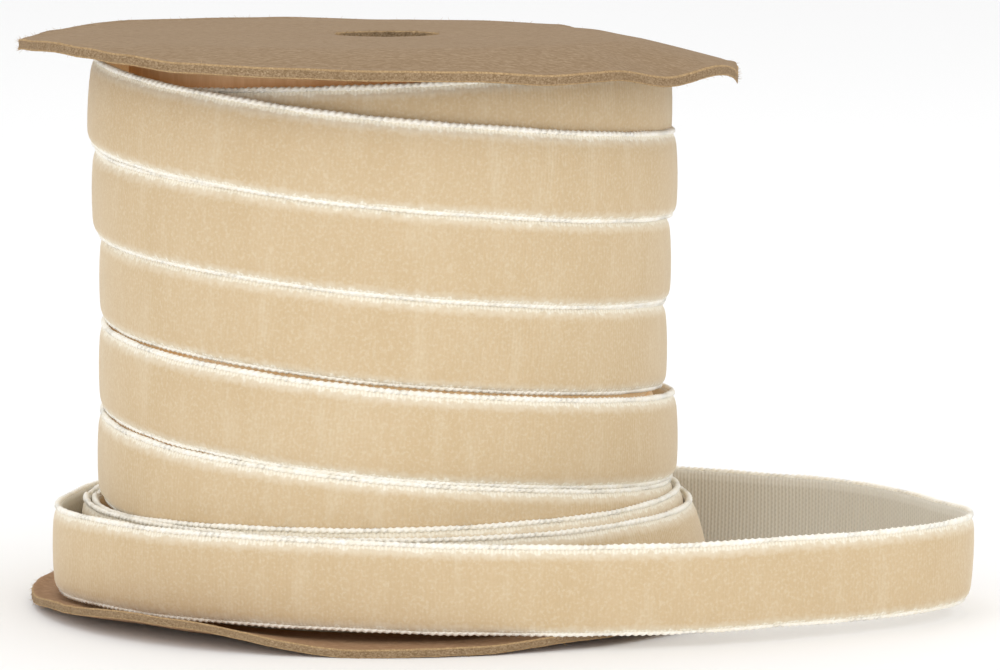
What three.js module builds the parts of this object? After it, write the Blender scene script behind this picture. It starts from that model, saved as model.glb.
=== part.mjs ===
// A spool of narrow velvet ribbon.
//
// Two die-cut discs of kraft board are glued on the ends of a rolled paper tube. The ribbon is
// wound on the tube in three layers. Its last turns have sprung loose: they lie on edge on the
// lower disc, and the end runs out to the right in one wide loop.
//
// Millimetres, +Z up. The origin is on the axis of the tube, at the underside of the lower disc.
// The front is -Y. An azimuth is 0 at the front and grows towards +X, the right.
import * as THREE from 'three';

// Driving dimensions
const spoolHeight = 68.9; // underside of the lower disc to the upper face of the top disc
const flangeDiameter = 87.2;
const boardThickness = 0.8;
const spindleHoleDiameter = 12.4;
const coreDiameter = 61.5;
const coreWall = 2;
const glueThickness = 0.2;
const ribbonWidth = 9.9; // between the middles of its two braided edges
const ribbonThickness = 1.05;

// Clearances and gaps
const solidClearance = 0.25; // taken off the thickness of every ribbon solid, so that turns stay apart
const layerGap = 0.1; // between one wound layer and the next
const topGap = 1.2; // top disc to the highest selvedge
const seatGap = 1.95; // lower disc to the lower selvedge of the last wound turn
const turnGap = 0.5; // least mean gap between wound turns
const endGap = 0.3; // between one stretch of ribbon and the next

// The discs were glued on slightly off centre
const topFlangeShift = -0.4;
const bottomFlangeShift = 0.6;

// Facets
const ringSides = 64;
const stripStepsPerTurn = 36;

const coreRadius = coreDiameter / 2;
const flangeRadius = flangeDiameter / 2;
const upperFloor = spoolHeight - boardThickness;
const stripThickness = ribbonThickness - solidClearance;
const fullTurn = 2 * Math.PI;

const part = new THREE.Group();

function addMesh(name, geometry, colour, roughness) {
  const material = new THREE.MeshStandardMaterial({ color: colour, roughness, metalness: 0 });
  const mesh = new THREE.Mesh(geometry, material);
  mesh.name = name;
  part.add(mesh);
  return mesh;
}

function smoothStep(start, end, value) {
  return THREE.MathUtils.smoothstep(value, start, end);
}

// Moves every vertex of a geometry to the place that a function gives for it.
function reshape(geometry, placeOf) {
  const position = geometry.attributes.position;
  const vertex = new THREE.Vector3();
  for (let index = 0; index < position.count; index += 1) {
    vertex.fromBufferAttribute(position, index);
    const place = placeOf(vertex);
    position.setXYZ(index, place.x, place.y, place.z);
  }
  return geometry;
}

// A ring about the Z axis with a rectangular section and a circle of vertices at each radius.
function ringGeometry(radii, bottom, top) {
  const underside = radii.map((radius) => new THREE.Vector2(radius, bottom));
  const upperFace = radii.map((radius) => new THREE.Vector2(radius, top)).reverse();
  const profile = [...underside, ...upperFace, underside[0].clone()];
  return new THREE.LatheGeometry(profile, ringSides).rotateX(Math.PI / 2);
}

// ---------------------------------------------------------------------------------------------
// Discs: flat where the tube holds them, warped where the board overhangs it

// Each entry is an azimuth in degrees and how far the rim has moved, as a share of the overhang.
const topRimDroop = [
  [-180, 0.055], [-160, 0.015], [-130, 0], [-110, 0.045], [-98, 0.075], [-85, 0.045], [-72, 0.02],
  [-60, 0], [-50, 0.03], [-42, 0.07], [-30, 0.13], [-12, 0.16], [2, 0.18], [15, 0.195], [28, 0.245], [39, 0.225],
  [52, 0.32], [66, 0.255], [80, 0.295], [95, 0.315], [108, 0.355], [128, 0.34], [137, 0.255],
  [150, 0.08], [165, 0.055], [180, 0.055],
];
const bottomRimLift = [
  [-180, 0.02], [-130, 0.03], [-80, 0.06], [-64, 0.13], [-42, 0.21], [-33, 0.2], [-4, 0],
  [13, 0.01], [32, 0.08], [55, 0.12], [80, 0.08], [110, 0.03],
  [150, 0.01], [180, 0.02],
];

function rimValue(rim, azimuth) {
  const next = rim.findIndex(([degrees]) => degrees >= azimuth);
  const [endAt, endValue] = rim[Math.max(next, 1)];
  const [startAt, startValue] = rim[Math.max(next, 1) - 1];
  const share = smoothStep(startAt, endAt, azimuth);
  return THREE.MathUtils.lerp(startValue, endValue, share);
}

// The board starts to bend just outside the tube, and bends more towards its rim.
const bendStart = coreRadius + 1;
const bendPower = 1.5;

function warp(rim, x, y) {
  const overhang = flangeRadius - bendStart;
  const beyondStart = Math.max(0, Math.hypot(x, y) - bendStart);
  const azimuth = THREE.MathUtils.radToDeg(Math.atan2(x, -y));
  return rimValue(rim, azimuth) * overhang * (beyondStart / overhang) ** bendPower;
}

const overhangSteps = 6;

function flangeGeometry(bottom, shift, rim, direction) {
  const radii = [spindleHoleDiameter / 2];
  for (let step = 0; step <= overhangSteps; step += 1) {
    radii.push(THREE.MathUtils.lerp(bendStart, flangeRadius, step / overhangSteps));
  }
  const disc = ringGeometry(radii, bottom, bottom + boardThickness);
  return reshape(disc, ({ x, y, z }) => {
    const place = new THREE.Vector3(x, y, z + direction * warp(rim, x, y));
    place.x += shift;
    return place;
  });
}

const kraft = 0xb0966c;
const boardRoughness = 0.9;
addMesh('bottom_flange', flangeGeometry(0, bottomFlangeShift, bottomRimLift, 1), kraft, boardRoughness);
addMesh('top_flange', flangeGeometry(upperFloor, topFlangeShift, topRimDroop, -1), kraft, boardRoughness);

// ---------------------------------------------------------------------------------------------
// Tube and the glue on its two ends

const tubeBottom = boardThickness + glueThickness;
const tubeTop = upperFloor - glueThickness;
const tubeInnerRadius = coreRadius - coreWall;
const tubeBrown = 0xa07a50;
const tube = ringGeometry([tubeInnerRadius, coreRadius], tubeBottom, tubeTop);
addMesh('core_tube', tube, tubeBrown, boardRoughness);

const glueInset = 0.2; // the glue stops short of both faces of the tube
const glueInner = tubeInnerRadius + glueInset;
const glueOuter = coreRadius - glueInset;
const glue = 0xd8cfae;
const glueRoughness = 0.4;
const glueRadii = [glueInner, glueOuter];
addMesh('bottom_glue_ring', ringGeometry(glueRadii, boardThickness, tubeBottom), glue, glueRoughness);
addMesh('top_glue_ring', ringGeometry(glueRadii, tubeTop, upperFloor), glue, glueRoughness);

// ---------------------------------------------------------------------------------------------
// Route of the ribbon
//
// A turn is counted from the front of the first turn of the outer layer. Turns grow towards the
// right, so -0.25 is the left of that turn, 0.25 its right and 0.5 its back.

const layerStep = ribbonThickness + layerGap;
const firstLayerRadius = coreRadius + layerGap + ribbonThickness / 2;
const outerLayerRadius = firstLayerRadius + 2 * layerStep;

const crestTurn = -0.5; // where the ribbon is highest, as it turns from layer two to layer three
const crestTop = upperFloor - topGap;
const helixStart = -0.25;
const helixStartDrop = 0.2;
const helixStartTop = crestTop - helixStartDrop;
const helixEndTop = boardThickness + seatGap + ribbonWidth;
const woundTurns = Math.floor((helixStartTop - helixEndTop) / (ribbonWidth + turnGap));
const helixEnd = helixStart + woundTurns;
const turnPitch = (helixStartTop - helixEndTop) / woundTurns;

// The layer leans down to the right, and a few turns have slipped by a share of the mean gap.
const leanRight = ribbonWidth / 6;
const leanFront = 0.15;
const meanGap = turnPitch - ribbonWidth;
const slips = [
  { turn: 0, drop: 1.45 * meanGap, spread: 0.35 },
  { turn: 1, drop: 0.65 * meanGap, spread: 0.35 },
  { turn: 3.25, drop: 0.2 * meanGap, spread: 0.3 },
];
// How far slack turns stand off the layer.
const bulges = [
  { turn: 0.2, size: 1.25, spread: 1.1 },
  { turn: 3.3, size: 1.35, spread: 0.45 },
  { turn: 4.3, size: 1, spread: 0.35 },
];

function bump({ turn, spread }, at) {
  return Math.exp(-(((at - turn) / spread) ** 2));
}

function helixTop(turn) {
  const angle = fullTurn * turn;
  const lean = leanRight * (1 + Math.sin(angle)) + leanFront * Math.cos(angle);
  const slipped = slips.reduce((sum, slip) => sum + slip.drop * bump(slip, turn), 0);
  return helixStartTop - turnPitch * (turn - helixStart) - lean - slipped;
}

// After the wound turns, one loose turn rides up a little and the next settles on the disc.
const rideUp = 1.15;
const rideTurns = 0.85;
const settle = 0.9; // per turn
const blendTurns = 0.15;

function looseTop(turn) {
  const loose = turn - helixEnd;
  const ride = loose < rideTurns ? rideUp * Math.sin((Math.PI * loose) / rideTurns) ** 2 : 0;
  return helixEndTop + ride - settle * Math.max(0, loose - 1);
}

const crestBlend = 0.5;

// Height of the upper selvedge.
function topAt(turn) {
  const fallen = smoothStep(crestTurn, crestTurn + crestBlend, turn);
  const wound = THREE.MathUtils.lerp(crestTop, helixTop(turn), fallen);
  const released = smoothStep(helixEnd - blendTurns, helixEnd + blendTurns, turn);
  return THREE.MathUtils.lerp(wound, looseTop(Math.max(turn, helixEnd - blendTurns)), released);
}

const climbTurns = 0.5; // the last half turn climbs outwards, to lie on the turn before it
const openFrom = 1.25; // loose turns before the ribbon opens out
const openSpread = 6.4; // millimetres, times the square of the turns beyond that

// Radius of the middle of the ribbon. Each loose turn lies on the one inside it.
function radiusAt(turn) {
  if (turn > helixEnd) {
    const opening = openSpread * Math.max(0, turn - helixEnd - openFrom) ** 2;
    return radiusAt(turn - 1) + ribbonThickness + opening;
  }
  const slack = bulges.reduce((sum, bulge) => sum + bulge.size * bump(bulge, turn), 0);
  const climbed = smoothStep(helixEnd - climbTurns, helixEnd, turn);
  return outerLayerRadius + slack + ribbonThickness * climbed;
}

function woundPlace(turn) {
  const angle = fullTurn * turn;
  const radius = radiusAt(turn);
  return new THREE.Vector3(radius * Math.sin(angle), -radius * Math.cos(angle), topAt(turn));
}

// The free end, seen from above: x, y and the height of the lower selvedge above the board.
const looseTurns = 1.75;
const tailStart = helixEnd + looseTurns;
const tailPoints = [
  [-10, 38, 1.1], [-21, 34, 1.2], [-31, 24, 1.3], [-35.6, 14.5, 1.4], [-38, 6.5, 1.4],
  [-39.5, -1.5, 1.4], [-39, -9, 1.5], [-36.6, -15.5, 1.7], [-32.7, -21.2, 1.8], [-26.8, -27.3, 1.8],
  [-19.8, -32.4, 1.8], [-11, -36.4, 1.8], [-2, -38.4, 1.7], [8, -39.5, 1.5], [18, -39.5, 1.4],
  [28, -38.7, 1.4], [38, -36.5, 1.3], [48, -32.5, 1.3], [57, -27.5, 1.2], [63.5, -23, 1.2],
  [68.3, -17.5, 1.2], [70.4, -12, 1.1], [70.2, -6, 1.1], [67.8, 0, 1], [65, 6.5, 1],
  [60.5, 14.5, 0.9], [54, 21, 0.9], [46, 26, 0.8], [38, 30.5, 0.8], [29, 35, 0.7], [20, 38.5, 0.6],
];

function tailPlace([x, y, lift]) {
  return new THREE.Vector3(x, y, boardThickness + lift + ribbonWidth);
}

const tailCurve = new THREE.CatmullRomCurve3(
  [woundPlace(tailStart), ...tailPoints.map(tailPlace)], false, 'catmullrom', 0.5);

// Bends a bar of the ribbon's section along a route. Its inner and outer faces stand upright.
function stripGeometry(placeAt, from, to, steps) {
  const bar = new THREE.BoxGeometry(1, stripThickness, ribbonWidth, steps, 1, 1);
  const look = (to - from) / steps / 4;
  return reshape(bar, ({ x, y, z }) => {
    const at = THREE.MathUtils.lerp(from, to, x + 0.5);
    const place = placeAt(at);
    const ahead = placeAt(Math.min(at + look, to));
    const behind = placeAt(Math.max(at - look, from));
    const heading = Math.atan2(ahead.y - behind.y, ahead.x - behind.x);
    place.x += -Math.sin(heading) * y;
    place.y += Math.cos(heading) * y;
    place.z += z - ribbonWidth / 2;
    return place;
  });
}

// ---------------------------------------------------------------------------------------------
// Ribbon, in four stretches

const velvet = 0xdcc9a0;
const velvetRoughness = 0.95;
const ringInner = coreRadius + layerGap + solidClearance;
const ringOuter = outerLayerRadius - layerStep + stripThickness / 2;
const innerDrop = 3; // the inner layers stop below the crest of the outer one
const ringTop = crestTop - innerDrop;
const innerWinding = ringGeometry([ringInner, ringOuter], helixEndTop - ribbonWidth, ringTop);
addMesh('ribbon_inner_winding', innerWinding, velvet, velvetRoughness);

const endTurns = endGap / (fullTurn * outerLayerRadius);
const outerSteps = Math.round(stripStepsPerTurn * (helixEnd - crestTurn));
const outerLayer = stripGeometry(woundPlace, crestTurn, helixEnd, outerSteps);
addMesh('ribbon_outer_layer', outerLayer, velvet, velvetRoughness);

const looseSteps = Math.round(stripStepsPerTurn * looseTurns);
const looseStrip = stripGeometry(woundPlace, helixEnd + endTurns, tailStart - endTurns, looseSteps);
addMesh('ribbon_loose_turns', looseStrip, velvet, velvetRoughness);

const tailSteps = 90;
const tailStrip = stripGeometry((at) => tailCurve.getPoint(at), 0, 1, tailSteps);
addMesh('ribbon_tail', tailStrip, velvet, velvetRoughness);

// ---------------------------------------------------------------------------------------------
// Tape that holds the first end of the ribbon to the tube, under the first layer

const tapeWidth = 12;
const tapeHeight = 14;
const tapeThickness = 0.12;
const tapeGap = 0.06;
const tapeSteps = 6;
const tapeBelowTop = 18; // from the tube's upper end to the middle of the tape
const tapeMiddle = tubeTop - tapeBelowTop;
const tapeBar = new THREE.BoxGeometry(tapeWidth, tapeThickness, tapeHeight, tapeSteps, 1, 1);
const tape = reshape(tapeBar, ({ x, y, z }) => {
  const radius = coreRadius + tapeGap + tapeThickness / 2 - y;
  const angle = x / coreRadius;
  return new THREE.Vector3(radius * Math.sin(angle), -radius * Math.cos(angle), z + tapeMiddle);
});
const tapeCream = 0xe8e0c8;
const tapeRoughness = 0.5;
addMesh('start_tape', tape, tapeCream, tapeRoughness);

export default part;
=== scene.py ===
# %% [markdown]
# # A spool of velvet ribbon
# Two discs of kraft board, a paper tube between them, and one long velvet ribbon wound on the
# tube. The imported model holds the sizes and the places. This script dresses it: it makes fine
# discs, a rolled tube and the ribbon itself, and gives each surface its own material.

# %% Load the frame
import math
import random

import bmesh
import bpy
import numpy as np
from mathutils import Matrix, Vector, noise


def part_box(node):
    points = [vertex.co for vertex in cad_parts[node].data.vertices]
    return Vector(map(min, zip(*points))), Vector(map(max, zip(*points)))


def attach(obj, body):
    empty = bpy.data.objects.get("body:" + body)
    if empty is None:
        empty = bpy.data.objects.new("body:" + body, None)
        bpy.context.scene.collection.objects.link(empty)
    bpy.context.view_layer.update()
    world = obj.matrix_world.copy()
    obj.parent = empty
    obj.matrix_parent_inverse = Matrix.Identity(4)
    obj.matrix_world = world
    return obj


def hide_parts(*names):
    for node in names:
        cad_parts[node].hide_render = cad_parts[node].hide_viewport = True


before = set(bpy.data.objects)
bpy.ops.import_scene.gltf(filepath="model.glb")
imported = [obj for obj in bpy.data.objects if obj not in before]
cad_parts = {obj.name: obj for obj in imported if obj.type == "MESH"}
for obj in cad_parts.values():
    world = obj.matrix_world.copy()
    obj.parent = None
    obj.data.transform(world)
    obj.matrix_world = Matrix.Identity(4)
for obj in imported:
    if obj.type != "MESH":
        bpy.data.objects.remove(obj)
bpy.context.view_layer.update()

MM = 0.001
print("nodes:", sorted(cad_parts))

# %% [markdown]
# ## Sizes
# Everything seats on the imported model, so its own boxes give the board, the tube and the discs.
# Only the ribbon's cut size is written here, because a wound strip's box doesn't tell it.

# %% Read the sizes from the frame
tube_low, tube_high = (Vector(corner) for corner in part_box("core_tube"))
core_radius = (tube_high.x - tube_low.x) / 2
board_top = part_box("bottom_glue_ring")[0][2]
board = board_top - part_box("bottom_flange")[0][2]
upper_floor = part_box("top_glue_ring")[1][2]
disc_low, disc_high = (Vector(corner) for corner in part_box("bottom_flange"))
disc_radius = (disc_high.x - disc_low.x) / 2
bottom_shift = (disc_high.x + disc_low.x) / 2
top_low, top_high = (Vector(corner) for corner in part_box("top_flange"))
top_shift = (top_high.x + top_low.x) / 2
hole_radius = 6.2 * MM
top_gap = 1.2 * MM
seat_gap = 1.95 * MM
turn_gap = 0.5 * MM
ribbon_width = 9.9 * MM
ribbon_thickness = 1.05 * MM
print(f"disc radius {disc_radius / MM:.1f}, tube radius {core_radius / MM:.2f}, board {board / MM:.2f} mm")

# %% [markdown]
# ## Camera
# A long lens from a little above the upper disc, so both discs show as thin ellipses and the
# lower one opens up more than the upper one.

# %% Camera
camera_data = bpy.data.cameras.new("camera")
camera_data.lens = 187.8
camera_data.sensor_width = 36
camera = bpy.data.objects.new("camera", camera_data)
camera.location = (0.01406, -0.6305, 0.1019)
camera.rotation_euler = (math.radians(90 - 6.3), 0, 0)
bpy.context.collection.objects.link(camera)
bpy.context.scene.camera = camera

# %% [markdown]
# ## The ribbon's route
# The real ribbon is one strip: two layers up and down the tube, an outer layer that leans down to
# the right, two slack turns that stand on the lower disc, and the free end in a wide loop. So one
# function gives the place of any turn, and a list of points gives the loop. A spline or a cloth
# simulation could lay the loop too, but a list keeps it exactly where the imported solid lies.

# %% Helpers for smooth changes
FULL_TURN = 2 * math.pi


def smooth_step(start, end, value):
    share = min(max((value - start) / (end - start), 0), 1)
    return share * share * (3 - 2 * share)


def mix(first, second, share):
    return first + (second - first) * share


# %% Heights and radii of the wound turns
layer_gap = 0.1 * MM
layer_step = ribbon_thickness + layer_gap
first_layer_radius = core_radius + layer_gap + ribbon_thickness / 2
outer_layer_radius = first_layer_radius + 2 * layer_step

crest_turn = -0.5
crest_top = upper_floor - top_gap
helix_start = -0.25
helix_start_top = crest_top - 0.2 * MM
helix_end_top = board_top + seat_gap + ribbon_width
wound_turns = math.floor((helix_start_top - helix_end_top) / (ribbon_width + turn_gap))
helix_end = helix_start + wound_turns
turn_pitch = (helix_start_top - helix_end_top) / wound_turns
mean_gap = turn_pitch - ribbon_width
lean_right = ribbon_width / 6
lean_front = 0.15 * MM

# turn, how far it has slipped down as a share of the mean gap, and over how many turns
slips = [(0, 1.45, 0.35), (1, 0.65, 0.35), (3.25, 0.2, 0.3)]
# turn, how far it stands off the layer, and over how many turns
bulges = [(0.2, 1.25, 1.1), (3.3, 1.35, 0.45), (4.3, 1, 0.35)]


def bumps(table, turn):
    return sum(size * math.exp(-(((turn - at) / spread) ** 2)) for at, size, spread in table)


def helix_top(turn):
    angle = FULL_TURN * turn
    lean = lean_right * (1 + math.sin(angle)) + lean_front * math.cos(angle)
    return helix_start_top - turn_pitch * (turn - helix_start) - lean - bumps(slips, turn) * mean_gap


ride_up = 1.15 * MM  # one loose turn rides up a little
ride_turns = 0.85
settle = 0.9 * MM  # and the next sinks by this much per turn
loose_blend = 0.15


def loose_top(turn):
    loose = turn - helix_end
    ride = ride_up * math.sin(math.pi * loose / ride_turns) ** 2 if loose < ride_turns else 0
    return helix_end_top + ride - settle * max(0, loose - 1)


crest_blend = 0.5
layer_turns = (crest_top - helix_end_top) / turn_pitch
turn_round = 0.45  # turns over which the ribbon turns back at a layer's end


def inner_top(turn):
    """The two hidden layers: up to the crest, and before that down from it."""
    away = crest_turn - turn
    rise = turn_pitch * (math.hypot(away, turn_round) - turn_round)
    second = abs(away - 2 * layer_turns)
    fall = turn_pitch * (math.hypot(second, turn_round) - turn_round)
    return max(crest_top - min(rise, fall), helix_end_top)


def top_at(turn):
    if turn < crest_turn:
        return inner_top(turn)
    fallen = smooth_step(crest_turn, crest_turn + crest_blend, turn)
    wound = mix(crest_top, helix_top(turn), fallen)
    released = smooth_step(helix_end - loose_blend, helix_end + loose_blend, turn)
    return mix(wound, loose_top(max(turn, helix_end - loose_blend)), released)


open_from = 1.25  # loose turns before the ribbon opens out
open_spread = 6.4 * MM  # times the square of the turns beyond that
climb_turns = 0.5


def radius_at(turn):
    if turn > helix_end:
        opening = open_spread * max(0, turn - helix_end - open_from) ** 2
        return radius_at(turn - 1) + ribbon_thickness + opening
    slack = bumps(bulges, turn) * MM
    climbed = smooth_step(helix_end - climb_turns, helix_end, turn)
    outer = outer_layer_radius + slack + ribbon_thickness * climbed
    second = mix(outer_layer_radius - layer_step, outer, smooth_step(-1.3, -0.7, turn))
    first_end = crest_turn - layer_turns
    return mix(first_layer_radius, second, smooth_step(first_end - 0.3, first_end + 0.3, turn))


def wound_place(turn):
    angle = FULL_TURN * turn
    radius = radius_at(turn)
    return (radius * math.sin(angle), -radius * math.cos(angle), top_at(turn))


print(f"{wound_turns} outer turns, {turn_pitch / MM:.2f} mm apart")

# %% Points of the free end
# seen from above: x, y and the height of the lower selvedge above the board, in mm
tail_points = [
    (-10, 38, 1.1), (-21, 34, 1.2), (-31, 24, 1.3), (-35.6, 14.5, 1.4), (-38, 6.5, 1.4),
    (-39.5, -1.5, 1.4), (-39, -9, 1.5), (-36.6, -15.5, 1.7), (-32.7, -21.2, 1.8), (-26.8, -27.3, 1.8),
    (-19.8, -32.4, 1.8), (-11, -36.4, 1.8), (-2, -38.4, 1.7), (8, -39.5, 1.5), (18, -39.5, 1.4),
    (28, -38.7, 1.4), (38, -36.5, 1.3), (48, -32.5, 1.3), (57, -27.5, 1.2), (63.5, -23, 1.2),
    (68.3, -17.5, 1.2), (70.4, -12, 1.1), (70.2, -6, 1.1), (67.8, 0, 1), (65, 6.5, 1),
    (60.5, 14.5, 0.9), (54, 21, 0.9), (46, 26, 0.8), (38, 30.5, 0.8), (29, 35, 0.7), (20, 38.5, 0.6),
]
tail_turn = helix_end + 1.75


def tail_place(point):
    x, y, lift = point
    return (x * MM, y * MM, board_top + lift * MM + ribbon_width)


def through(points, steps):
    """A Catmull-Rom curve through the points, with so many steps from each to the next."""
    knots = np.array([2 * points[0] - points[1], *points, 2 * points[-1] - points[-2]])
    curve = []
    for a, b, c, d in zip(knots, knots[1:], knots[2:], knots[3:]):
        for t in np.linspace(0, 1, steps, endpoint=False):
            curve.append(0.5 * (2 * b + (c - a) * t + (2 * a - 5 * b + 4 * c - d) * t ** 2
                                + (3 * b - a - 3 * c + d) * t ** 3))
    curve.append(knots[-2])
    return np.array(curve)


# %% One table of the whole route, by distance along the ribbon
start_turn = math.ceil(crest_turn - 2 * layer_turns + 1)
turns = np.linspace(start_turn, tail_turn, 6000)
wound_line = np.array([wound_place(turn) for turn in turns])
tail_line = through(np.array([wound_place(tail_turn), *map(tail_place, tail_points)]), 40)
route = np.vstack([wound_line, tail_line[1:]])
strides = np.linalg.norm(np.diff(route, axis=0), axis=1)
route_distance = np.concatenate([[0], np.cumsum(strides)])
tail_distance = route_distance[len(wound_line) - 1]
ribbon_length = route_distance[-1]
print(f"ribbon {ribbon_length:.3f} m, free end {ribbon_length - tail_distance:.3f} m")


def distance_of_turn(turn):
    return float(np.interp(turn, turns, route_distance[:len(turns)]))


wave_lengths = (9 * MM, 17 * MM, 31 * MM, 67 * MM)
largest_wave = 70 * MM


def waver(distance, size, seed):
    """Small slow changes along the ribbon, the same on every run."""
    draws = random.Random(seed)
    total = np.zeros_like(distance)
    for wavelength in wave_lengths:
        total += np.sin(distance / wavelength * FULL_TURN + draws.uniform(0, FULL_TURN)) * wavelength
    return total / largest_wave * size


# turn, how far the lower edge stands out beyond the upper one in mm, and over how many turns
leans = [(-0.22, 0.55, 0.22), (5.25, 1.1, 0.2), (6.25, 2.5, 0.2)]
end_lean = -0.45 * MM  # the free end leans the other way
free_lean_at = [0.03, 0.1, 0.2]  # metres along the free end: upright, still upright, leaning
tuck = 0.12


def lean_at(turn):
    """The lower edge of a wound turn stands out a little over the turn below it."""
    return (tuck * (1 - smooth_step(helix_end - 0.2, helix_end + 0.2, turn)) + bumps(leans, turn)) * MM


unevenness = 0.07 * MM
look = 0.4 * MM  # how far ahead and behind the route is read for its heading


def route_at(distances):
    return np.stack([np.interp(distances, route_distance, route[:, axis]) for axis in range(3)], 1)


def ribbon_frames(distances):
    """Middle of the strip, its outward side and its height direction, at each distance."""
    distances = np.asarray(distances, float)
    line = route_at(distances)
    along = route_at(distances + look) - route_at(distances - look)
    along /= np.linalg.norm(along, axis=1)[:, None]
    outward = np.stack([along[:, 1], -along[:, 0], np.zeros(len(along))], 1)
    outward /= np.linalg.norm(outward, axis=1)[:, None]
    up = np.cross(outward, along)
    at_turn = np.interp(distances, route_distance[:len(turns)], turns)
    wound_lean = np.array([lean_at(turn) for turn in at_turn])
    loose = distances - tail_distance
    free_lean = np.interp(loose, [0, *free_lean_at], [lean_at(tail_turn), 0, 0, end_lean])
    tilt = np.where(loose > 0, free_lean, wound_lean)[:, None] / ribbon_width
    centre = line - up * ribbon_width / 2 + outward * tilt * ribbon_width / 2
    centre[:, 2] += waver(distances, unevenness, 5)
    outward, up = outward + up * tilt, up - outward * tilt
    return centre, outward, up


# %% [markdown]
# ## Sweeping a section along the ribbon
# A strip and its twisted edge are the same job: a small outline carried along the route. A grid
# from bmesh gives the faces, each of its rows is laid on one outline, and its two long sides are
# welded into a tube. That is quicker than thousands of extrusions and makes the same mesh.

# %% Sweep helper
def finish_mesh(name, mesh, materials):
    piece = bpy.data.objects.new(name, mesh)
    bpy.context.collection.objects.link(piece)
    for material in materials:
        mesh.materials.append(material)
    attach(piece, "root")
    return piece


def sweep(name, distances, rings, across, materials, material_of=lambda column: 0):
    """rings[row, column] is a point. across[column] is the UV's second number."""
    rows, columns = rings.shape[:2]
    bm = bmesh.new()
    uv_layer = bm.loops.layers.uv.new("UVMap")
    bmesh.ops.create_grid(bm, x_segments=rows - 1, y_segments=columns, size=0.5)
    spots = {}
    for vert in bm.verts:
        row = round((vert.co.x + 0.5) * (rows - 1))
        column = round((vert.co.y + 0.5) * columns)
        spots[vert] = (row, column)
    for face in bm.faces:
        columns_here = [spots[loop.vert][1] for loop in face.loops]
        face.material_index = material_of(min(columns_here))
        face.smooth = True
        for loop in face.loops:
            row, column = spots[loop.vert]
            loop[uv_layer].uv = (distances[row], across[column])
    for vert, (row, column) in spots.items():
        vert.co = rings[row, column % columns]
    bmesh.ops.remove_doubles(bm, verts=bm.verts, dist=0.5e-6)
    rim = [edge for edge in bm.edges if edge.is_boundary]
    bmesh.ops.holes_fill(bm, edges=rim, sides=0)
    bmesh.ops.recalc_face_normals(bm, faces=bm.faces)
    mesh = bpy.data.meshes.new(name)
    bm.to_mesh(mesh)
    bm.free()
    print(f"{name}: {len(mesh.polygons)} faces")
    return finish_mesh(name, mesh, materials)


# %% [markdown]
# ## Materials
# Small node groups hold what several finishes share: ribs across a ribbon, fibres in board, and
# slow mottling. Each material places them with its own numbers.

# %% Node helpers
def add_node(tree, kind, values=None, **settings):
    node = tree.nodes.new(kind)
    for key, value in settings.items():
        setattr(node, key, value)
    for key, value in (values or {}).items():
        if isinstance(value, bpy.types.NodeSocket):
            tree.links.new(value, node.inputs[key])
        else:
            node.inputs[key].default_value = value
    return node


def math_node(tree, operation, first, second=0.0, clamp=False):
    node = add_node(tree, "ShaderNodeMath", {0: first, 1: second}, operation=operation)
    node.use_clamp = clamp
    return node.outputs[0]


def ramp(tree, value, low, high, to_low=0.0, to_high=1.0):
    node = add_node(tree, "ShaderNodeMapRange", {"Value": value, "From Min": low, "From Max": high,
                                                 "To Min": to_low, "To Max": to_high})
    node.interpolation_type = "SMOOTHSTEP"
    return node.outputs["Result"]


def mix_colour(tree, factor, first, second, blend="MIX"):
    node = tree.nodes.new("ShaderNodeMix")
    node.data_type = "RGBA"
    node.blend_type = blend
    for index, value in ((0, factor), (6, first), (7, second)):
        if isinstance(value, bpy.types.NodeSocket):
            tree.links.new(value, node.inputs[index])
        else:
            node.inputs[index].default_value = value
    return node.outputs[2]


def fine_noise(tree, scale, detail=2.0):
    """Noise that is fixed to the piece. Its scale is in patches per metre."""
    coordinates = add_node(tree, "ShaderNodeTexCoord")
    return add_node(tree, "ShaderNodeTexNoise",
                    {"Vector": coordinates.outputs["Object"], "Scale": scale, "Detail": detail}).outputs[0]


def add_relief(tree, shader, height, strength, distance):
    bump = add_node(tree, "ShaderNodeBump", {"Height": height, "Strength": strength, "Distance": distance})
    tree.links.new(bump.outputs[0], shader.inputs["Normal"])


def add_painted_glow(tree, shader, along, clear_from, dark_from):
    """Painted glow: a warm emission where the outer layer covers the ribbon stands in for light that soaks
    through and bounces into the shade there.
    """
    covered = ramp(tree, along, clear_from, dark_from, 1, 0)
    glow = mix_colour(tree, covered, (0, 0, 0, 1), PAINTED_GLOW)
    tree.links.new(glow, shader.inputs["Emission Color"])
    shader.inputs["Emission Strength"].default_value = 1.0


def new_group(name, inputs, outputs):
    tree = bpy.data.node_groups.new(name, "ShaderNodeTree")
    for socket_name, kind, value in inputs:
        socket = tree.interface.new_socket(socket_name, in_out="INPUT", socket_type=kind)
        socket.default_value = value
    for socket_name, kind in outputs:
        tree.interface.new_socket(socket_name, in_out="OUTPUT", socket_type=kind)
    source = tree.nodes.new("NodeGroupInput")
    sink = tree.nodes.new("NodeGroupOutput")
    return tree, source.outputs, sink.inputs


def place_group(tree, group, values):
    node = tree.nodes.new("ShaderNodeGroup")
    node.node_tree = group
    for key, value in values.items():
        if isinstance(value, bpy.types.NodeSocket):
            tree.links.new(value, node.inputs[key])
        else:
            node.inputs[key].default_value = value
    return node.outputs


def new_material(name, **sockets):
    material = bpy.data.materials.new(name)
    material.use_nodes = True
    shader = material.node_tree.nodes["Principled BSDF"]
    for key, value in sockets.items():
        shader.inputs[key.replace("_", " ")].default_value = value
    return material, material.node_tree, shader


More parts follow.
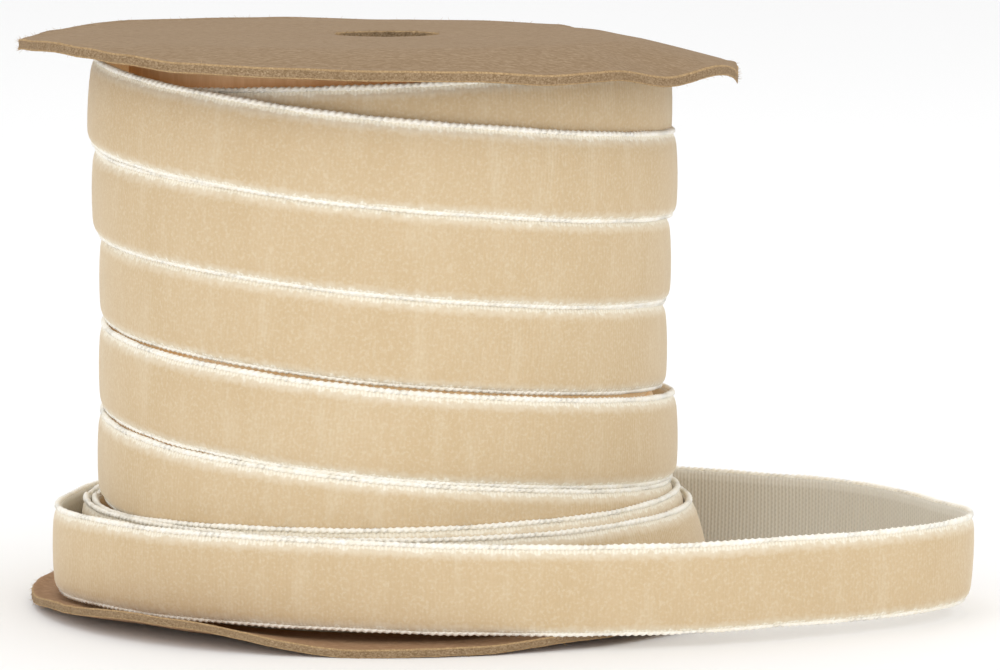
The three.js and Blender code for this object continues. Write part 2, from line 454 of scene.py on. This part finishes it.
# %% Group: mottle, soft patches of light and dark
mottle_group, given, gives = new_group(
    "mottle",
    [("Scale", "NodeSocketFloat", 100.0), ("Stretch", "NodeSocketVector", (1, 1, 1)),
     ("Low", "NodeSocketFloat", 0.35), ("High", "NodeSocketFloat", 0.65)],
    [("Mask", "NodeSocketFloat")])
coordinates = add_node(mottle_group, "ShaderNodeTexCoord")
stretched = add_node(mottle_group, "ShaderNodeVectorMath",
                     {0: coordinates.outputs["Object"], 1: given["Stretch"]}, operation="MULTIPLY")
patches = add_node(mottle_group, "ShaderNodeTexNoise",
                   {"Vector": stretched.outputs[0], "Scale": given["Scale"], "Detail": 4.0})
spread = add_node(mottle_group, "ShaderNodeMapRange",
                  {"Value": patches.outputs[0], "From Min": given["Low"], "From Max": given["High"]})
mottle_group.links.new(spread.outputs["Result"], gives["Mask"])

# %% Group: ribs, the threads that run across a ribbon
ribs_group, given, gives = new_group(
    "ribs",
    [("Pitch", "NodeSocketFloat", 0.00045), ("Breaks", "NodeSocketFloat", 0.0004)],
    [("Height", "NodeSocketFloat"), ("Dots", "NodeSocketFloat")])
strip_uv = add_node(ribs_group, "ShaderNodeUVMap", uv_map="UVMap")
split = add_node(ribs_group, "ShaderNodeSeparateXYZ", {0: strip_uv.outputs[0]})
wander = add_node(ribs_group, "ShaderNodeTexNoise", {"Vector": strip_uv.outputs[0], "Scale": 900.0})
shift = math_node(ribs_group, "MULTIPLY", wander.outputs[0], 0.00008)
along = math_node(ribs_group, "ADD", split.outputs[0], shift)
phase = math_node(ribs_group, "DIVIDE", along, given["Pitch"])
wave = math_node(ribs_group, "SINE", math_node(ribs_group, "MULTIPLY", phase, FULL_TURN))
height = math_node(ribs_group, "MULTIPLY_ADD", wave, 0.5)
height.node.inputs[2].default_value = 0.5
ribs_group.links.new(height, gives["Height"])
half = math_node(ribs_group, "MULTIPLY", math_node(ribs_group, "FLOOR", phase), 0.5)
break_count = math_node(ribs_group, "DIVIDE", split.outputs[1], given["Breaks"])
across_phase = math_node(ribs_group, "ADD", break_count, half)
across_wave = math_node(ribs_group, "SINE", math_node(ribs_group, "MULTIPLY", across_phase, FULL_TURN))
dots = math_node(ribs_group, "MULTIPLY", height, ramp(ribs_group, across_wave, -0.6, 0.6))
ribs_group.links.new(dots, gives["Dots"])

# %% Group: fibres, the matted strands of board and paper
fibre_group, given, gives = new_group(
    "fibres",
    [("Scale", "NodeSocketFloat", 900.0), ("Stretch", "NodeSocketVector", (0.12, 1, 1))],
    [("Streaks", "NodeSocketFloat"), ("Specks", "NodeSocketFloat")])
coordinates = add_node(fibre_group, "ShaderNodeTexCoord")
stretched = add_node(fibre_group, "ShaderNodeVectorMath",
                     {0: coordinates.outputs["Object"], 1: given["Stretch"]}, operation="MULTIPLY")
strands = add_node(fibre_group, "ShaderNodeTexNoise",
                   {"Vector": stretched.outputs[0], "Scale": given["Scale"], "Detail": 5.0,
                    "Roughness": 0.65, "Distortion": 0.6})
fibre_group.links.new(strands.outputs[0], gives["Streaks"])
grains = add_node(fibre_group, "ShaderNodeTexNoise",
                  {"Vector": stretched.outputs[0], "Scale": 620.0, "Detail": 2.0})
fibre_group.links.new(ramp(fibre_group, grains.outputs[0], 0.62, 0.72), gives["Specks"])

# %% Velvet face
PILE = (0.63, 0.485, 0.305, 1)
PILE_DEEP = (0.58, 0.43, 0.25, 1)
PILE_PALE = (0.74, 0.64, 0.47, 1)
SELVEDGE = (0.90, 0.84, 0.71, 1)
BAND = (0.77, 0.68, 0.53, 1)
SELVEDGE_DEEP = (0.56, 0.48, 0.34, 1)
# painted glow: the warm colour that the covered ribbon gives off as light
PAINTED_GLOW = (0.20, 0.12, 0.055, 1)

velvet, tree, shader = new_material("velvet_pile", Roughness=0.95, Sheen_Weight=0.55,
                                    Sheen_Roughness=0.35, Sheen_Tint=(1, 0.95, 0.84, 1))
shader.inputs["Specular IOR Level"].default_value = 0.15
uv = add_node(tree, "ShaderNodeUVMap", uv_map="UVMap")
strip_place = add_node(tree, "ShaderNodeSeparateXYZ", {0: uv.outputs[0]})
across_strip = strip_place.outputs[1]
ragged = math_node(tree, "MULTIPLY_ADD", fine_noise(tree, 1400.0, 3.0), 0.0012)
ragged.node.inputs[2].default_value = -0.0006
place = math_node(tree, "ADD", across_strip, ragged)
ribs = place_group(tree, ribs_group, {"Pitch": 0.00045, "Breaks": 0.0007})
patch = place_group(tree, mottle_group, {"Scale": 160.0, "Stretch": (1, 1, 0.5), "Low": 0.4, "High": 0.66})
pale = place_group(tree, mottle_group, {"Scale": 420.0, "Stretch": (1, 1, 0.25), "Low": 0.52, "High": 0.72})
colour = mix_colour(tree, math_node(tree, "MULTIPLY", patch["Mask"], 0.45), PILE, PILE_DEEP)
colour = mix_colour(tree, math_node(tree, "MULTIPLY", pale["Mask"], 0.28), colour, PILE_PALE)
colour = mix_colour(tree, math_node(tree, "MULTIPLY", ribs["Height"], 0.22), colour, PILE_DEEP)
grain = fine_noise(tree, 2600.0, 3.0)
colour = mix_colour(tree, ramp(tree, grain, 0.45, 0.75, 0, 0.4), colour, PILE_PALE)
colour = mix_colour(tree, ramp(tree, grain, 0.5, 0.25, 0, 0.35), colour, PILE_DEEP)
colour = mix_colour(tree, ramp(tree, place, 0.0032, 0.0044, 0, 0.8), colour, BAND)
colour = mix_colour(tree, ramp(tree, place, -0.0038, -0.0048, 0, 0.7), colour, BAND)
woven = mix_colour(tree, math_node(tree, "MULTIPLY", ribs["Height"], 0.3), SELVEDGE, SELVEDGE_DEEP)
colour = mix_colour(tree, ramp(tree, place, 0.0042, 0.0045), colour, woven)
colour = mix_colour(tree, ramp(tree, place, -0.0046, -0.0048), colour, woven)
tree.links.new(colour, shader.inputs["Base Color"])
nap = fine_noise(tree, 3800.0)
relief = math_node(tree, "ADD", nap, math_node(tree, "MULTIPLY", ribs["Height"], 0.5))
add_relief(tree, shader, relief, 0.35, 0.12 * MM)
# Painted glow: the velvet of the hidden layers gives off a warm light, so the gaps between the outer turns
# show warm instead of dark shade.
covered_until = distance_of_turn(-1.5)
add_painted_glow(tree, shader, strip_place.outputs[0], covered_until - 40 * MM, covered_until)
print("velvet glows where it is covered, up to", round(covered_until, 3), "m")

# %% Ribbon back
BACK = (0.68, 0.64, 0.54, 1)
BACK_DEEP = (0.48, 0.45, 0.37, 1)
BACK_PALE = (0.80, 0.77, 0.69, 1)
backing, tree, shader = new_material("ribbon_back", Roughness=0.8, Sheen_Weight=0.15)
uv = add_node(tree, "ShaderNodeUVMap", uv_map="UVMap")
strip_place = add_node(tree, "ShaderNodeSeparateXYZ", {0: uv.outputs[0]})
edge = math_node(tree, "ABSOLUTE", strip_place.outputs[1])
ribs = place_group(tree, ribs_group, {"Pitch": 0.00050, "Breaks": 0.0006})
colour = mix_colour(tree, math_node(tree, "MULTIPLY", ribs["Height"], 0.45), BACK, BACK_DEEP)
colour = mix_colour(tree, math_node(tree, "MULTIPLY", ribs["Dots"], 0.35), colour, BACK_PALE)
colour = mix_colour(tree, ramp(tree, edge, 0.0037, 0.0042, 0, 0.6), colour, BACK_PALE)
tree.links.new(colour, shader.inputs["Base Color"])
# Painted glow: the back of the ribbon gives off the same warm light where the outer layer covers it.
add_painted_glow(tree, shader, strip_place.outputs[0], distance_of_turn(-0.25), distance_of_turn(-0.1))
add_relief(tree, shader, ribs["Height"], 0.5, 0.12 * MM)

# %% Edge yarn
yarn, tree, shader = new_material("selvedge_yarn", Roughness=0.7, Sheen_Weight=0.3)
tone = place_group(tree, mottle_group, {"Scale": 900.0, "Low": 0.35, "High": 0.7})
colour = mix_colour(tree, tone["Mask"], (0.97, 0.94, 0.86, 1), SELVEDGE)
tree.links.new(colour, shader.inputs["Base Color"])
add_relief(tree, shader, fine_noise(tree, 9000.0), 0.3, 0.06 * MM)


# %% Kraft board, its cut edge and the tube's paper
def paper_material(name, base, deep, pale, scale, stretch, bump_strength, roughness=0.92):
    material, tree, shader = new_material(name, Roughness=roughness)
    shader.inputs["Specular IOR Level"].default_value = 0.25
    fibres = place_group(tree, fibre_group, {"Scale": scale, "Stretch": stretch})
    cloud = place_group(tree, mottle_group, {"Scale": 70.0, "Low": 0.3, "High": 0.7})
    colour = mix_colour(tree, ramp(tree, fibres["Streaks"], 0.35, 0.68), deep, base)
    colour = mix_colour(tree, ramp(tree, fibres["Streaks"], 0.60, 0.78, 0, 0.7), colour, pale)
    colour = mix_colour(tree, math_node(tree, "MULTIPLY", cloud["Mask"], 0.25), colour, deep)
    colour = mix_colour(tree, math_node(tree, "MULTIPLY", fibres["Specks"], 0.35), colour, deep)
    tree.links.new(colour, shader.inputs["Base Color"])
    add_relief(tree, shader, fibres["Streaks"], bump_strength, 0.15 * MM)
    return material


kraft = paper_material("kraft_board", (0.345, 0.245, 0.15, 1), (0.25, 0.165, 0.09, 1),
                       (0.44, 0.335, 0.22, 1), 2600.0, (0.45, 1, 1), 0.5)
cut_edge = paper_material("kraft_cut_edge", (0.42, 0.30, 0.18, 1), (0.22, 0.14, 0.07, 1),
                          (0.66, 0.52, 0.34, 1), 5200.0, (0.7, 0.7, 1), 0.8)
burr = paper_material("kraft_burr", (0.58, 0.40, 0.21, 1), (0.34, 0.22, 0.11, 1),
                      (0.74, 0.58, 0.36, 1), 4200.0, (1, 1, 1), 0.8)
# The lower disc's board is a lighter, warmer copy of the kraft. This is painted bounce light for the warm
# light the ribbon throws into the shade on its upper face.
kraft_painted_bounce = paper_material("lower_disc_painted_bounce", (0.44, 0.28, 0.165, 1), (0.31, 0.18, 0.095, 1),
                             (0.54, 0.38, 0.235, 1), 2600.0, (0.45, 1, 1), 0.5)
# The tube's paper is far lighter than the kraft board. This is painted light, so the tube reads bright in
# the shade under the upper disc.
tube_paper_painted_light = paper_material("tube_paper_painted_light", (0.84, 0.58, 0.35, 1), (0.74, 0.48, 0.27, 1),
                            (0.88, 0.67, 0.44, 1), 700.0, (1, 1, 0.2), 0.2)
glue = paper_material("dried_glue", (0.72, 0.66, 0.50, 1), (0.60, 0.53, 0.38, 1),
                      (0.80, 0.75, 0.62, 1), 500.0, (1, 1, 1), 0.1, 0.35)
tape_paper = paper_material("tape_paper", (0.76, 0.70, 0.55, 1), (0.68, 0.61, 0.46, 1),
                            (0.84, 0.79, 0.66, 1), 900.0, (0.3, 1, 1), 0.1, 0.5)
print("materials:", sorted(material.name for material in bpy.data.materials))

# %% [markdown]
# ## The velvet strip
# Velvet ribbon is a thin woven ground with pile standing on its face and a bare selvedge down
# each side. Its section shows all three: a flat back, two thin edges and a face that swells
# between them. A flat plane with bump would lose the step where the pile begins.

# %% Section of the strip
# how far out from the middle and how far up, in mm; it starts at the lower edge of the face
lower_side = [(-0.2, -5), (-0.04, -4.94), (0.12, -4.8), (0.32, -4.5), (0.45, -4), (0.5, -3.3)]
upper_side = [(0.49, 3.3), (0.42, 3.85), (0.34, 4.2), (0.24, 4.36), (0.18, 4.6), (0.08, 4.92), (-0.1, 5)]
face = lower_side + [(0.53, -1.8), (0.54, 0), (0.53, 1.8)] + upper_side
back = [(-0.42, 4.98), (-0.5, 4.5), (-0.5, 2.2), (-0.5, 0), (-0.5, -2.2), (-0.5, -4.5), (-0.42, -4.98)]
section = np.array(face + back) * MM
cup = 0.15 * MM  # how far both edges of the strip curl back from its middle
cup_centre = 0.4  # share of the cup by which the middle of the strip stands proud
half_width = ribbon_width / 2
first_back_column = len(face) - 1


def strip_rings(distances):
    centre, outward, up = ribbon_frames(distances)
    puff = 1 + waver(distances, 0.05, 11)
    out = section[None, :, 0] * puff[:, None]
    height = np.broadcast_to(section[None, :, 1], out.shape)
    out = out + cup * (cup_centre - (height / half_width) ** 2)
    return centre[:, None] + outward[:, None] * out[..., None] + up[:, None] * height[..., None]


across = np.append(section[:, 1], section[0, 1])


def velvet_strip(name, distances):
    return sweep(name, distances, strip_rings(distances), across, [velvet, backing],
                 lambda column: 1 if column >= first_back_column else 0)


# %% Wound ribbon and free end
hidden_until = distance_of_turn(-1.45)
hidden = np.arange(0, hidden_until, 4 * MM)
shown = np.linspace(hidden_until, tail_distance, round((tail_distance - hidden_until) / (1.5 * MM)))
winding = velvet_strip("ribbon_winding", np.concatenate([hidden, shown]))
tail_steps = np.linspace(tail_distance, ribbon_length, round((ribbon_length - tail_distance) / (1.2 * MM)))
tail = velvet_strip("ribbon_free_end", tail_steps)

# %% [markdown]
# ## The twisted edges
# The white braid on each side is a yarn whose two strands wrap each other, so it looks like a row
# of slanted beads. An oval that turns as it goes along has just that outline.

# %% Edge yarns
bead_pitch = 0.87 * MM
yarn_sides = 6
yarn_reach = 5.05 * MM
yarn_setback = {1: 0.02 * MM, -1: 0.42 * MM}  # how far behind the strip's middle each yarn lies


def yarn_rings(distances, side):
    centre, outward, up = ribbon_frames(distances)
    middle = centre + up * side * yarn_reach - outward * yarn_setback[side]
    twist = distances / bead_pitch * math.pi
    fat = 1 + waver(distances * 6, 0.07, 21 + side)
    ring = []
    for corner in range(yarn_sides):
        angle = FULL_TURN * corner / yarn_sides
        wide = 0.40 * MM * math.cos(angle)
        thin = 0.25 * MM * math.sin(angle)
        out = wide * np.cos(twist) - thin * np.sin(twist)
        rise = wide * np.sin(twist) + thin * np.cos(twist)
        ring.append(middle + outward * (fat * out)[:, None] + up * (fat * rise)[:, None])
    return np.stack(ring, 1)


def edge_yarn(name, start, end, side):
    distances = np.linspace(start, end, round((end - start) / (0.25 * MM)))
    return sweep(name, distances, yarn_rings(distances, side), np.zeros(yarn_sides + 1), [yarn])


winding_edges = [edge_yarn("winding_upper_edge", hidden_until, tail_distance, 1),
                 edge_yarn("winding_lower_edge", hidden_until, tail_distance, -1)]
tail_edges = [edge_yarn("free_end_upper_edge", tail_distance, ribbon_length, 1),
              edge_yarn("free_end_lower_edge", tail_distance, ribbon_length, -1)]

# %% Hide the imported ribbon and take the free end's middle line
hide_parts("ribbon_inner_winding", "ribbon_outer_layer", "ribbon_loose_turns")
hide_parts("ribbon_tail")
tail_centres = ribbon_frames(tail_steps)[0]

# %% [markdown]
# ## The discs
# Each disc is die-cut from thin kraft board and has warped where it overhangs the tube. Its
# profile is spun round the axis, and then every point moves up or down by the warp. The packed
# discs have the same warp with coarse facets, so these finer ones take their place.

# %% Warp of the two rims
# azimuth in degrees and how far the rim has moved, as a share of the overhang
top_rim_droop = [
    (-180, 0.055), (-160, 0.015), (-130, 0), (-110, 0.045), (-98, 0.075), (-85, 0.045), (-72, 0.02),
    (-60, 0), (-50, 0.03), (-42, 0.07), (-30, 0.13), (-12, 0.16), (2, 0.18), (15, 0.195),
    (28, 0.245), (39, 0.225), (52, 0.32), (66, 0.255), (80, 0.295), (95, 0.315),
    (108, 0.355), (128, 0.34), (137, 0.255), (150, 0.08), (165, 0.055), (180, 0.055),
]
bottom_rim_lift = [
    (-180, 0.02), (-130, 0.03), (-80, 0.06), (-64, 0.13), (-42, 0.21), (-33, 0.2), (-4, 0),
    (13, 0.01), (32, 0.08), (55, 0.12), (80, 0.08), (110, 0.03),
    (150, 0.01), (180, 0.02),
]
bend_start = core_radius + 1 * MM
crushed_start = core_radius - 2.4 * MM
top_crushed = (106, 40)  # azimuth and spread, in degrees, of the crushed stretch of the tube's end


def rim_value(rim, azimuth):
    for (start, first), (end, second) in zip(rim, rim[1:]):
        if azimuth <= end:
            return mix(first, second, smooth_step(start, end, azimuth))
    return rim[-1][1]


def bump_at(value, middle, spread):
    return math.exp(-(((value - middle) / spread) ** 2))


def warp(rim, x, y, crushed=None):
    """How far the board has moved. Where the tube's end is crushed, the bend starts further in."""
    azimuth = math.degrees(math.atan2(x, -y))
    weight = bump_at(azimuth, *crushed) if crushed else 0
    start = mix(bend_start, crushed_start, weight)
    beyond = max(0, math.hypot(x, y) - start)
    rim_move = rim_value(rim, azimuth) * (disc_radius - bend_start)
    return rim_move * (beyond / (disc_radius - start)) ** mix(1.5, 1.05, weight)


# %% Local marks: a curled lip, a nick and a hole that sits off centre
def marked(x, y, z, curls, nicks, hole_shift):
    """Moves a point of a disc by the marks of wear near it."""
    radius = math.hypot(x, y)
    azimuth = math.degrees(math.atan2(x, -y))
    for middle, spread, reach, drop in curls:
        share = max(0, (radius - disc_radius + reach * MM) / (reach * MM))
        weight = bump_at(azimuth, middle, spread)
        z -= weight * drop * MM * share ** 2
        radius -= weight * 0.35 * drop * MM * share ** 3
    for middle, spread, depth in nicks:
        if radius > disc_radius - 0.5 * MM:
            radius -= depth * MM * bump_at(azimuth, middle, spread)
    angle = math.radians(azimuth)
    near_hole = 1 - smooth_step(hole_radius, 3 * hole_radius, radius)
    return radius * math.sin(angle) + hole_shift * MM * near_hole, -radius * math.cos(angle), z


# %% Disc maker
worn = 0.12 * MM  # how far the corners of the board are worn back


def disc_profile(inner, outer, thickness):
    """Half section of a disc, anticlockwise from the hole's lower edge, with worn corners."""
    flat = np.concatenate([np.linspace(inner + worn, bend_start, 8)[:-1],
                           np.linspace(bend_start, outer - worn, 26)])
    lower = [(radius, 0) for radius in flat]
    rim = [(outer - worn * 0.3, worn * 0.3), (outer, worn), (outer - worn * 0.4, thickness / 2),
           (outer, thickness - worn), (outer - worn * 0.3, thickness - worn * 0.3)]
    upper = [(radius, thickness) for radius in reversed(flat)]
    hole = [(inner + worn * 0.3, thickness - worn * 0.3), (inner, thickness - worn), (inner, thickness / 2),
            (inner, worn), (inner + worn * 0.3, worn * 0.3)]
    return lower + rim + upper + hole


def spun(bm, profile, steps):
    verts = [bm.verts.new((radius, 0, z)) for radius, z in profile]
    edges = [bm.edges.new((a, b)) for a, b in zip(verts, verts[1:] + verts[:1])]
    bmesh.ops.spin(bm, geom=verts + edges, axis=(0, 0, 1), cent=(0, 0, 0), angle=FULL_TURN,
                   steps=steps, use_merge=True)
    bmesh.ops.remove_doubles(bm, verts=bm.verts, dist=1e-6)
    bmesh.ops.recalc_face_normals(bm, faces=bm.faces)


def board_finish(face):
    """Flat board, the cut between its faces, or the burr where the two meet."""
    centre = face.calc_center_median()
    radius = math.hypot(centre.x, centre.y)
    if hole_radius + worn + 0.01 * MM < radius < disc_radius - worn - 0.01 * MM:
        return 0
    slope = abs(face.normal.z)
    return 2 if 0.25 < slope < 0.97 else 1


disc_steps = 720
rim_band = 0.3 * MM  # the cut is torn this far in from each edge
swell_between = (disc_radius - 1.4 * MM, disc_radius - 0.1 * MM)
rim_swell = 0.22 * MM  # each face of the board bulges by this much at its cut rim


def make_disc(name, finish, bottom, shift, rim, direction, crushed=None, curls=(), nicks=(), hole_shift=0):
    bm = bmesh.new()
    spun(bm, disc_profile(hole_radius, disc_radius, board), disc_steps)
    for face in bm.faces:
        face.material_index = board_finish(face)
        face.smooth = True
    rim_places = []
    for vert in bm.verts:
        radius = math.hypot(vert.co.x, vert.co.y)
        cut = radius > disc_radius - rim_band or radius < hole_radius + rim_band
        coarse_tear = noise.noise(vert.co * 900) * 0.14 * MM
        fine_tear = noise.noise(vert.co * 3000) * 0.10 * MM
        ragged = coarse_tear + fine_tear if cut else 0
        uneven = noise.noise(vert.co * 160) * 0.05 * MM
        scale = 1 + ragged / radius
        swell = rim_swell * smooth_step(*swell_between, radius)
        swell *= 2 * vert.co.z / board - 1
        if bottom == 0:
            swell = max(swell, 0)
        lift = bottom + direction * warp(rim, vert.co.x, vert.co.y, crushed) + uneven + swell
        place = marked(vert.co.x * scale, vert.co.y * scale, vert.co.z + lift, curls, nicks, hole_shift)
        at_corner = vert.co.z < 0.2 * board or vert.co.z > 0.8 * board
        if cut and at_corner:
            rim_places.append((Vector(place), radius > disc_radius / 2))
        vert.co = place
    bmesh.ops.translate(bm, verts=bm.verts, vec=(shift, 0, 0))
    mesh = bpy.data.meshes.new(name)
    bm.to_mesh(mesh)
    bm.free()
    print(f"{name}: {len(mesh.polygons)} faces")
    return finish_mesh(name, mesh, [finish, cut_edge, burr]), rim_places


def make_fibres(name, places, shift, count, seed):
    """Short paper fibres that stand out of a cut edge, as thin cones."""
    draws = random.Random(seed)
    bm = bmesh.new()
    for place, outer in draws.sample(places, count):
        outward = Vector((place.x, place.y, 0)).normalized() * (1 if outer else -1)
        aim = outward + Vector([draws.uniform(-1.2, 1.2) for axis in range(3)]) * 0.8
        length = draws.uniform(0.15, 0.7) * MM
        turn = aim.to_track_quat("Z", "Y").to_matrix().to_4x4()
        middle = place + Vector((shift, 0, 0)) + aim.normalized() * length * 0.4
        bmesh.ops.create_cone(bm, segments=3, radius1=0.022 * MM, radius2=0.006 * MM, depth=length,
                              cap_ends=True, matrix=Matrix.Translation(middle) @ turn)
    mesh = bpy.data.meshes.new(name)
    bm.to_mesh(mesh)
    bm.free()
    print(f"{name}: {count} fibres")
    return finish_mesh(name, mesh, [burr])


# azimuth of the middle, its spread in degrees, how far in it reaches and how far it drops, in mm
top_curls = [(86, 8, 2.4, 1.3), (-88, 5, 1.2, 0.3)]
# azimuth, spread in degrees, and depth in mm
bottom_nicks = [(-59, 0.35, 0.5), (-21, 0.5, 0.2), (12, 0.4, 0.2), (141, 0.5, 0.4)]
top_nicks = [(-36, 0.4, 0.15), (33, 0.5, 0.2), (-150, 0.4, 0.3)]
# the lower disc wears the kraft copy with painted bounce light
bottom_disc, bottom_rim_places = make_disc("lower_disc", kraft_painted_bounce, 0, bottom_shift, bottom_rim_lift, 1,
                                           nicks=bottom_nicks)
top_disc, top_rim_places = make_disc("upper_disc", kraft, upper_floor, top_shift, top_rim_droop, -1,
                                     top_crushed, top_curls, top_nicks, hole_shift=0.8)
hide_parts("bottom_flange")
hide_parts("top_flange")
bottom_fibres = make_fibres("lower_disc_fibres", bottom_rim_places, bottom_shift, 1500, 3)
top_fibres = make_fibres("upper_disc_fibres", top_rim_places, top_shift, 1700, 4)

# %% [markdown]
# ## The tube
# A strip of kraft paper wound on a slant and glued. The end of each wind shows as a fine slanted
# seam, so the spun wall gets a shallow groove that climbs round it.

# %% Tube
tube_wall = 2 * MM
seam_pitch = 38 * MM  # how far the slanted seam climbs in one turn
seam_depth = 0.07 * MM
seam_spread = 0.012  # as a share of a turn
crushed_height = 8 * MM  # the end of the tube is crushed over this height
bm = bmesh.new()
heights = np.linspace(tube_low.z, tube_high.z, 60)
tube_profile = [(core_radius, z) for z in heights] + [(core_radius - tube_wall, z) for z in heights[::-1]]
spun(bm, tube_profile, 288)
for vert in bm.verts:
    angle = math.atan2(vert.co.y, vert.co.x) / FULL_TURN
    climb = (vert.co.z / seam_pitch - angle) % 1
    groove = seam_depth * bump_at(climb, 0.5, seam_spread)
    near_end = smooth_step(tube_high.z - crushed_height, tube_high.z, vert.co.z)
    vert.co.z -= near_end * warp(top_rim_droop, vert.co.x, vert.co.y, top_crushed)
    radius = math.hypot(vert.co.x, vert.co.y)
    scale = 1 - groove / radius
    vert.co.x *= scale
    vert.co.y *= scale
for face in bm.faces:
    face.smooth = abs(face.normal.z) < 0.5
tube_mesh = bpy.data.meshes.new("rolled_tube")
bm.to_mesh(tube_mesh)
bm.free()
# the tube's paper colour holds painted light for the shade under the upper disc
tube = finish_mesh("rolled_tube", tube_mesh, [tube_paper_painted_light])
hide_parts("core_tube")
small_finishes = {"bottom_glue_ring": glue, "top_glue_ring": glue, "start_tape": tape_paper}
for node_name, material in small_finishes.items():
    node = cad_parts[node_name]
    node.data.materials.clear()
    node.data.materials.append(material)

# %% [markdown]
# ## Floor and light
# A plain white floor, a bright even surround and two big soft lamps near the camera, so the
# velvet is lit from the front and the shadows under the discs stay small and soft.

# %% Floor
bm = bmesh.new()
bmesh.ops.create_grid(bm, x_segments=8, y_segments=8, size=4)
floor_mesh = bpy.data.meshes.new("floor")
bm.to_mesh(floor_mesh)
bm.free()
floor = bpy.data.objects.new("floor", floor_mesh)
bpy.context.collection.objects.link(floor)
floor_material, tree, shader = new_material("floor_white", Roughness=0.9)
shader.inputs["Base Color"].default_value = (0.93, 0.93, 0.93, 1)
floor_mesh.materials.append(floor_material)


# %% Lamps
def soft_lamp(name, place, aim, size, power):
    data = bpy.data.lights.new(name, "AREA")
    data.size = size
    data.energy = power
    lamp = bpy.data.objects.new(name, data)
    lamp.location = place
    lamp.rotation_euler = (Vector(aim) - Vector(place)).to_track_quat("-Z", "Y").to_euler()
    bpy.context.collection.objects.link(lamp)


middle = (0, 0, 0.03)
soft_lamp("front_left", (-0.55, -0.85, 0.55), middle, 0.6, 1.25)
soft_lamp("front_right", (0.6, -0.8, 0.45), middle, 0.6, 0.9)
soft_lamp("overhead", (0, 0.15, 1.0), middle, 0.8, 1.4)
soft_lamp("low_front", (0.05, -0.9, 0.04), (0, 0, 0.06), 0.5, 0.8)
world = bpy.data.worlds.new("surround")
world.use_nodes = True
world.node_tree.nodes["Background"].inputs["Color"].default_value = (1, 1, 1, 1)
world.node_tree.nodes["Background"].inputs["Strength"].default_value = 1.0
bpy.context.scene.world = world
bpy.context.scene.view_settings.view_transform = "Standard"
